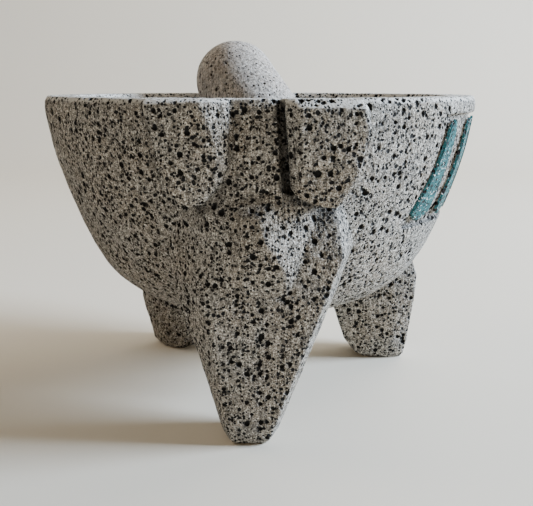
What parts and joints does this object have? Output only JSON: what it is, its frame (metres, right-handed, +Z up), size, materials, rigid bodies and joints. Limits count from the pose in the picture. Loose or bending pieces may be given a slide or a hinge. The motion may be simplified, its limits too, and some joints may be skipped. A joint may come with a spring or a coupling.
{
  "type": "molcajete",
  "caption": "Three-legged pig-head mortar carved from vesicular basalt, with a domed basalt pestle that leans in the bowl and lifts out.",
  "frame": {"origin": "on the ground, at the centre of the whole object's box seen from above", "axes": "+Z up, out of the flat rim; the pig's head looks along -Y; the carved panel is on the +X side"},
  "size_m": [0.2108, 0.2194, 0.1749],
  "materials": {
    "basalt": "rough grey vesicular basalt, full of open pores, with fine chisel and grinder marks",
    "pale_basalt": "smoother, paler basalt worn by the hand, with fewer pores",
    "teal_paint": "thin teal brush paint on stone, worn through to pale grains"
  },
  "bodies": {
    "mortar": {"mortar": "basalt", "bar_paint_1": "teal_paint", "bar_paint_2": "teal_paint", "bar_paint_3": "teal_paint", "bar_paint_4": "teal_paint", "bar_paint_5": "teal_paint", "bar_paint_6": "teal_paint", "bar_paint_7": "teal_paint"},
    "tejolote": {"tejolote": "pale_basalt"}
  },
  "joints": [
    {"name": "tejolote_lift", "type": "slide", "parent": "mortar", "child": "tejolote", "axis": [0, 0, 1], "range_m": [0, 0.12]}
  ]
}
